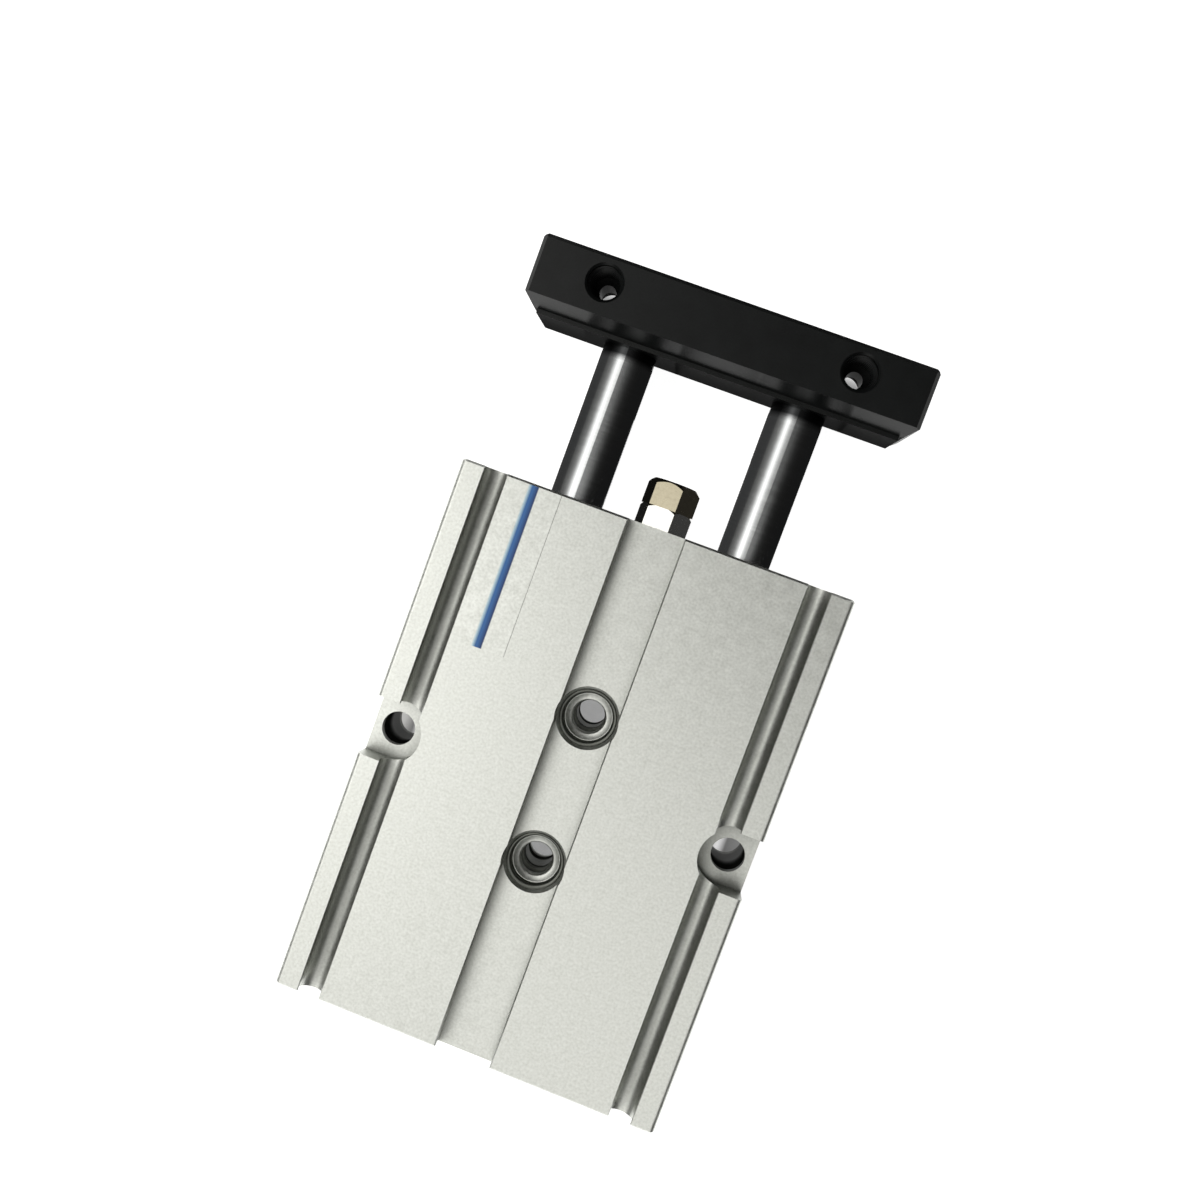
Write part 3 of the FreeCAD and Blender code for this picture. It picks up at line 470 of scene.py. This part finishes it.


# turned ledges at the foot of the counterbores, and drilled walls in the side holes made dark with painted shade

seat = {  # corners of each ring's section, radius and height in mm
    "ledge": ((3.42, 6.0), (3.34, 5.86), (2.6, 5.74), (2.46, 5.66), (2.4, 5.5), (2.4, 4.3), (3.5, 5.0)),
    "slope": ((4.02, 7.3), (3.42, 6.0), (3.5, 5.2), (4.1, 5.4)),
    "shadedHoleWall": ((2.42, 4.35), (2.42, -4.35), (2.47, -4.35), (2.47, 4.35)),
    "steps": 64,
}


def ringPiece(name, mount, upward, profile, material):  # closed rings round a mount's upright axes
    verts, faces = [], []
    rows, steps = len(profile), seat["steps"]
    for centre in holePlaces(mount):
        first = len(verts)
        for step in range(steps):
            angle = math.tau * step / steps
            for radius, height in profile:
                verts.append((centre.x + radius * mm * math.cos(angle),
                              centre.y + radius * mm * math.sin(angle), upward * height * mm))
        for step in range(steps):
            here = first + step * rows
            there = first + (step + 1) % steps * rows
            for row in range(rows):
                after = (row + 1) % rows
                faces.append((here + row, there + row, there + after, here + after))
    ring = partPiece(name, verts, faces, material, "root")
    for polygon in ring.data.polygons:
        polygon.use_smooth = True


for mountName, upward in (("centre_holes_top", 1), ("centre_holes_base", -1)):
    ringPiece(mountName + "_seat", mounts[mountName], upward, seat["ledge"], turnedSeat)
    ringPiece(mountName + "_seat_slope", mounts[mountName], upward, seat["slope"], shadedSlope)
ringPiece("side_hole_walls", mounts["side_holes_top"], 1, seat["shadedHoleWall"], shadedHoleWall)
print("seats and drilled walls turned")


# studio: pale floor under a wide arch, with one long softbox up on the left and a shorter one behind

studio = {
    "floorSize": 6.0, "floor": "#d0d0ce", "floorGlow": 0.93,
    "contactReach": 8.0 * mm, "contactFull": 0.35, "contactRays": 16,  # painted contact shadow: dark where it is close to the object
    "world": 0.3, "backdrop": "#ffffff",
    "lean": 26.0,  # degrees from straight up to the middle of the softbox on the left
    "core": 11.0, "coreLevel": 1.5,  # half width of its bright middle, in degrees, and how bright it looks
    "skirt": 30.0, "skirtLevel": 0.34,  # the wide soft fall-off round it
    "bellSteepness": -0.7,
    "fadeStart": 0.7, "fadeEnd": 1.0,  # metres ahead of the object, where the softbox ends
    "overBody": 1.78, "overBodyFrom": 0.05, "overBodyTo": 0.14,  # brighter over the body than over the rods
    "tail": 0.25, "tailFrom": -0.95,  # and weaker far behind it
    "rearLean": -11.7, "rearSpread": 15.0,  # degrees, the shorter softbox behind
    "rearPlace": -1.45, "rearLength": 1.5, "rearLevel": 1.45, "rearEndFrom": -0.14, "rearEndTo": 0.16,
    "roomLeft": 0.07, "roomRight": 0.012,
    "archRadius": 1.3, "archBack": -3.6, "archFront": 1.2, "archSegments": 96,  # metres along Y
    "keyDistance": 0.62, "keyWidth": 0.2, "keyLength": 0.9, "keyBehind": 0.1, "keyPower": 2.4,
    "keyColour": "#fffefb",
}
notchShade = {  # the floor under both side notches, where little light gets in
    "x": 28.0 * mm, "y": 40.0 * mm, "halfX": 2.8 * mm, "halfY": 4.6 * mm, "blur": 1.2 * mm, "level": 0.12}
boxLow, boxHigh = (Vector(corner) for corner in cadBox)
floorZ = boxLow.z


def emptyMaterial(name):
    material = bpy.data.materials.new(name)
    material.use_nodes = True
    material.node_tree.nodes.clear()
    return material, material.node_tree


def seenByEye(tree):  # 1 for rays from the camera, from glossy metal and through glass
    path = addNode(tree, "LightPath").outputs
    either = addNode(tree, "Math", [path["Is Camera Ray"], path["Is Glossy Ray"]], operation="MAXIMUM")
    return addNode(tree, "Math", [either, path["Is Transmission Ray"]], operation="MAXIMUM")


def floorMaterial():  # it glows for the eye, with painted contact shadow where the object stands on it or close over it
    material, tree = emptyMaterial("paleFloor")
    matt = addNode(tree, "BsdfDiffuse", [hexColour(studio["floor"])])
    openness = addNode(tree, "AmbientOcclusion", {"Distance": studio["contactReach"]},
                       samples=studio["contactRays"]).outputs["AO"]
    lit = addNode(tree, "MapRange", [openness, 0.0, studio["contactFull"], 0.0, studio["floorGlow"]])
    place = addNode(tree, "SeparateXYZ", [addNode(tree, "TexCoord").outputs["Object"]]).outputs
    fromCentre = addNode(tree, "Math", [place["X"]], operation="ABSOLUTE")
    inNotch = []
    for distance, axis in ((fromCentre, "X"), (place["Y"], "Y")):
        offset = addNode(tree, "Math", [distance, notchShade[axis.lower()]], operation="SUBTRACT")
        away = addNode(tree, "Math", [offset], operation="ABSOLUTE")
        half = notchShade["half" + axis]
        inNotch.append(addNode(tree, "MapRange", [away, half - notchShade["blur"], half, 1.0, 0.0]))
    both = addNode(tree, "Math", inNotch, operation="MULTIPLY")
    kept = addNode(tree, "MapRange", [both, 0.0, 1.0, 1.0, notchShade["level"]])
    shaded = addNode(tree, "Math", [lit, kept], operation="MULTIPLY")
    strength = addNode(tree, "Math", [seenByEye(tree), shaded], operation="MULTIPLY")
    glow = addNode(tree, "Emission", {"Strength": strength})
    addNode(tree, "OutputMaterial", {"Surface": addNode(tree, "AddShader", [matt, glow])})
    return material


def bell(tree, value, centre, halfWidth, level):  # a soft peak of this level, falling off on both sides
    offset = addNode(tree, "Math", [value, centre], operation="SUBTRACT")
    ratio = addNode(tree, "Math", [offset, halfWidth], operation="DIVIDE")
    squared = addNode(tree, "Math", [ratio, ratio], operation="MULTIPLY")
    spread = addNode(tree, "Math", [squared, studio["bellSteepness"]], operation="MULTIPLY")
    peak = addNode(tree, "Math", [spread], operation="EXPONENT")
    return addNode(tree, "Math", [peak, level], operation="MULTIPLY")


def softboxMaterial():  # two soft pools of light on the arch, and a dim room round them
    material, tree = emptyMaterial("softboxArch")
    place = addNode(tree, "SeparateXYZ", [addNode(tree, "TexCoord").outputs["Object"]]).outputs
    angle = addNode(tree, "Math", [place["X"], place["Z"]], operation="ARCTAN2")
    lean = -math.radians(studio["lean"])
    core = bell(tree, angle, lean, math.radians(studio["core"]), studio["coreLevel"])
    skirt = bell(tree, angle, lean, math.radians(studio["skirt"]), studio["skirtLevel"])
    overBody = addNode(tree, "MapRange", [
        place["Y"], studio["overBodyFrom"], studio["overBodyTo"], studio["overBody"], 1.0])
    behind = addNode(tree, "MapRange", [
        place["Y"], studio["tailFrom"], studio["overBodyFrom"], studio["tail"], 1.0])
    along = addNode(tree, "Math", [overBody, behind], operation="MULTIPLY")
    ending = addNode(tree, "MapRange", [place["Y"], studio["fadeStart"], studio["fadeEnd"], 1.0, 0.0])
    across = addNode(tree, "Math", [core, skirt], operation="ADD")
    length = addNode(tree, "Math", [along, ending], operation="MULTIPLY")
    longBox = addNode(tree, "Math", [across, length], operation="MULTIPLY")
    rearBell = bell(tree, place["Y"], studio["rearPlace"], studio["rearLength"], studio["rearLevel"])
    rearEnding = addNode(tree, "MapRange", [
        place["Y"], studio["rearEndFrom"], studio["rearEndTo"], 1.0, 0.0])
    rear = addNode(tree, "Math", [rearBell, rearEnding], operation="MULTIPLY")
    rearLean, rearSpread = -math.radians(studio["rearLean"]), math.radians(studio["rearSpread"])
    rearAcross = bell(tree, angle, rearLean, rearSpread, 1.0)
    rearBox = addNode(tree, "Math", [rear, rearAcross], operation="MULTIPLY")
    room = addNode(tree, "MapRange", [
        place["X"], -studio["archRadius"], 0.0, studio["roomLeft"], studio["roomRight"]])
    rest = addNode(tree, "Math", [rearBox, room], operation="ADD")
    strength = addNode(tree, "Math", [longBox, rest], operation="ADD")
    glow = addNode(tree, "Emission", {"Color": hexColour(studio["keyColour"]), "Strength": strength})
    addNode(tree, "OutputMaterial", {"Surface": glow})
    return material


def stageCard(name, verts, faces, material, onlyMirrored):
    card = meshObject(name, verts, faces, material)
    if onlyMirrored:
        for ray in ("camera", "diffuse", "transmission", "volume_scatter", "shadow"):
            setattr(card, "visible_" + ray, False)


def glowCard(name, corners, level):  # a dim card that shows in reflections and nowhere else
    material, tree = emptyMaterial(name)
    addNode(tree, "OutputMaterial", {"Surface": addNode(tree, "Emission", {"Strength": level})})
    stageCard(name, corners, [(0, 1, 2, 3)], material, onlyMirrored=True)


def levelCorners(left, back, right, front, height):  # of a rectangle that lies flat
    return [(left, back, height), (right, back, height), (right, front, height), (left, front, height)]


reach = studio["floorSize"] / 2
stageCard("floor", levelCorners(-reach, -reach, reach, reach, floorZ), [(0, 1, 2, 3)], floorMaterial(),
          onlyMirrored=False)

archVerts, archFaces = [], []
segments, archRadius = studio["archSegments"], studio["archRadius"]
for index in range(segments + 1):
    angle = math.pi * index / segments
    for y in (studio["archBack"], studio["archFront"]):
        archVerts.append((archRadius * math.cos(angle), y, archRadius * math.sin(angle) + floorZ))
for index in range(segments):
    base = 2 * index
    archFaces.append((base, base + 1, base + 3, base + 2))
archFaces.append(tuple(2 * index + 1 for index in range(segments + 1)))  # closed ahead, open behind
stageCard("softboxArch", archVerts, archFaces, softboxMaterial(), onlyMirrored=True)

# black flags stand along both rods, so that the chrome mirrors something dark on either side

flag = {"away": 7.0 * mm, "top": 4.0 * mm, "leftLevel": 0.055, "rightLevel": 0.012}
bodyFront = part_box("body")[1].y
plateLow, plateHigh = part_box("end_plate")
for side in sides:
    for way, level in ((-1, flag["leftLevel"]), (1, flag["rightLevel"])):
        x, top = boreX[side] + way * flag["away"], flag["top"]
        glowCard(side + "Flag" + str(way), [
            (x, bodyFront, floorZ), (x, plateLow.y, floorZ), (x, plateLow.y, top), (x, bodyFront, top)],
            level)

# dark cards lie on the table just behind the plate's foot and ahead of it; the one behind the foot is a painted
# shadow of the floor there

foot = {"length": 8.0 * mm, "beyond": 30 * mm, "ahead": 1.0, "lift": 0.1 * mm, "level": 0.05}
for name, back, front in (("plateFootShadowCard", plateLow.y - foot["length"], plateLow.y),
                          ("frontCard", plateHigh.y, foot["ahead"])):
    glowCard(name, levelCorners(plateLow.x - foot["beyond"], back, plateHigh.x + foot["beyond"], front,
                                floorZ + foot["lift"]), foot["level"])

lean = math.radians(studio["lean"])
keyData = bpy.data.lights.new("keySoftbox", "AREA")
keyData.shape = "RECTANGLE"
keyData.size = studio["keyWidth"]
keyData.size_y = studio["keyLength"]
keyData.energy = studio["keyPower"]
keyData.color = hexColour(studio["keyColour"])[:3]
key = bpy.data.objects.new("keySoftbox", keyData)
key.location = (-studio["keyDistance"] * math.sin(lean), (boxLow.y + boxHigh.y) / 2 - studio["keyBehind"],
                studio["keyDistance"] * math.cos(lean))
key.rotation_euler = (0.0, -lean, 0.0)
key.visible_glossy = False
bpy.context.scene.collection.objects.link(key)

world = bpy.data.worlds.new("studioWorld")
bpy.context.scene.world = world
world.use_nodes = True
worldTree = world.node_tree
background = worldTree.nodes["Background"]
worldLevel = addNode(worldTree, "Mix", {"Factor": seenByEye(worldTree), "A": studio["world"], "B": 1.0})
worldTree.links.new(worldLevel.outputs["Result"], background.inputs["Strength"])
background.inputs["Color"].default_value = hexColour(studio["backdrop"])
print("studio set")


# camera over the body, looking almost straight down

view = {"place": (6.12 * mm, 76.44 * mm, 165.39 * mm), "turn": (-1.635, 4.570, 20.227),  # metres and degrees
        "lens": 33.66, "sensor": 36.0, "nearest": 0.01, "farthest": 20.0}
cameraData = bpy.data.cameras.new("camera")
cameraData.lens = view["lens"]
cameraData.sensor_width = view["sensor"]
cameraData.clip_start = view["nearest"]
cameraData.clip_end = view["farthest"]
camera = bpy.data.objects.new("camera", cameraData)
camera.location = view["place"]
camera.rotation_euler = [math.radians(angle) for angle in view["turn"]]
bpy.context.scene.collection.objects.link(camera)
bpy.context.scene.camera = camera
bpy.context.scene.view_settings.view_transform = "Standard"
print("camera set")
